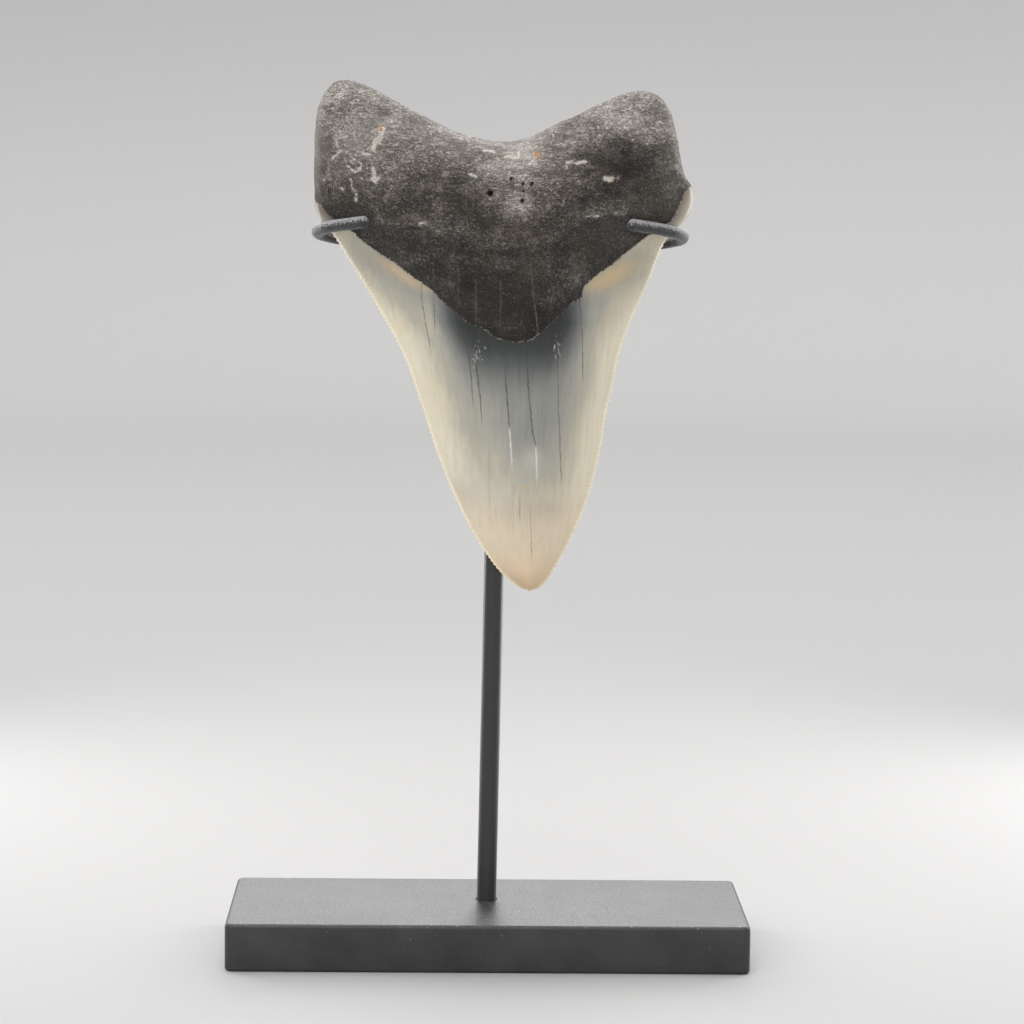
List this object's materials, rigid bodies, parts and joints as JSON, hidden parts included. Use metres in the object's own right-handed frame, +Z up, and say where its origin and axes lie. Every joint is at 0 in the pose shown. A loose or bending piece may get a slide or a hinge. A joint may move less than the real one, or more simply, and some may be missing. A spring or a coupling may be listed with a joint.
{
  "type": "megalodon tooth on a display stand",
  "caption": "Fossil megalodon tooth hanging crown down in a bent wire cradle on a thin steel stem and flat rectangular base.",
  "frame": {"origin": "middle of the underside of the base", "axes": "+Z up, -Y towards the front, where the tooth's curved inner face looks, +X to the right seen from the front"},
  "size_m": [0.13, 0.05, 0.2188],
  "materials": {
    "fossil_tooth": "rough dark grey root and satin slate to ivory enamel",
    "coated_wire": "coarse satin near-black coating",
    "coated_rod": "satin near-black coating",
    "coated_block": "fine-textured charcoal powder coat"
  },
  "bodies": {
    "root": {"tooth": "fossil_tooth", "cradle": "coated_wire", "stem": "coated_rod", "base": "coated_block"}
  },
  "joints": []
}
